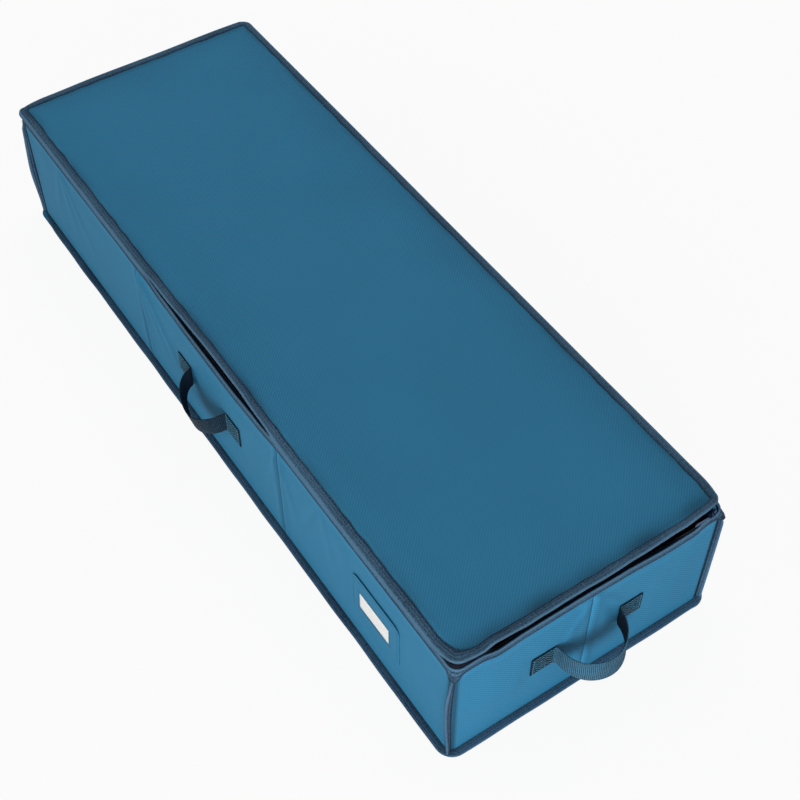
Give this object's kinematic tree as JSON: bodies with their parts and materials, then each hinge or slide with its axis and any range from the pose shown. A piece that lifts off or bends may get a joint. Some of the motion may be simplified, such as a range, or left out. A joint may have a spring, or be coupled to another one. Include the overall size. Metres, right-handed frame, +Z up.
{
  "type": "gift wrap organizer",
  "caption": "Long, low cloth storage box for rolls of wrapping paper, with a zip-round lid hinged in cloth, webbing carry handles and a label pocket.",
  "frame": {"origin": "on the floor under the middle of the box, at the centre of the base cloth's underside", "axes": "+X along the box towards the end with the zip slider at rest, -Y out of the long side with the label, +Z up"},
  "size_m": [1.1198, 0.4115, 0.1899],
  "materials": {
    "outer_cloth": "matte",
    "binding_tape": "matte",
    "webbing": "matte",
    "lining_cloth": "matte",
    "grey_board": "matte",
    "zip_tape": "matte",
    "zip_coil": "satin",
    "dark_metal": "satin",
    "white_card": "matte",
    "clear_film": "gloss"
  },
  "bodies": {
    "box": {"back_board_1": "grey_board", "back_board_2": "grey_board", "back_board_3": "grey_board", "back_cloth": "outer_cloth", "back_lining": "lining_cloth", "base_board": "grey_board", "base_cloth": "outer_cloth", "base_lining": "lining_cloth", "bottom_binding": "binding_tape", "corner_binding_back_left": "binding_tape", "corner_binding_back_right": "binding_tape", "corner_binding_front_left": "binding_tape", "corner_binding_front_right": "binding_tape", "front_board_1": "grey_board", "front_board_2": "grey_board", "front_board_3": "grey_board", "front_cloth": "outer_cloth", "front_handle": "webbing", "front_lining": "lining_cloth", "label_film": "clear_film", "label_pocket": "outer_cloth", "left_board_1": "grey_board", "left_board_2": "grey_board", "left_cloth": "outer_cloth", "left_handle": "webbing", "left_lining": "lining_cloth", "lid_hinge_strip": "outer_cloth", "right_board_1": "grey_board", "right_board_2": "grey_board", "right_cloth": "outer_cloth", "right_handle": "webbing", "right_lining": "lining_cloth", "rim_binding": "binding_tape", "zip_coil_lower": "zip_coil", "zip_stop_left": "dark_metal", "zip_stop_right": "dark_metal", "zip_tape_lower": "zip_tape"},
    "lid": {"lid_cloth": "outer_cloth", "lid_board": "grey_board", "lid_lining": "lining_cloth", "lid_binding": "binding_tape", "zip_tape_upper": "zip_tape", "zip_coil_upper": "zip_coil"},
    "zip_slider": {"zip_slider": "dark_metal"},
    "zip_pull": {"zip_pull": "dark_metal"},
    "label_card": {"label_card": "white_card"}
  },
  "joints": [
    {"name": "lid_hinge", "type": "hinge", "parent": "box", "child": "lid", "pos_m": [0, 0.1816, 0.18245], "axis": [-1, 0, 0], "range_deg": [0, 205], "deforming": ["lid_hinge_strip"]},
    {"name": "slider_run", "type": "slide", "parent": "box", "child": "zip_slider", "axis": [0, -1, 0], "range_m": [0, 0.31]},
    {"name": "pull_swing", "type": "hinge", "parent": "zip_slider", "child": "zip_pull", "pos_m": [0.5134, 0.158, 0.182], "axis": [0, 0, 1], "range_deg": [0, 180]},
    {"name": "card_lift", "type": "slide", "parent": "box", "child": "label_card", "axis": [0, 0, 1], "range_m": [0, 0.066]}
  ]
}
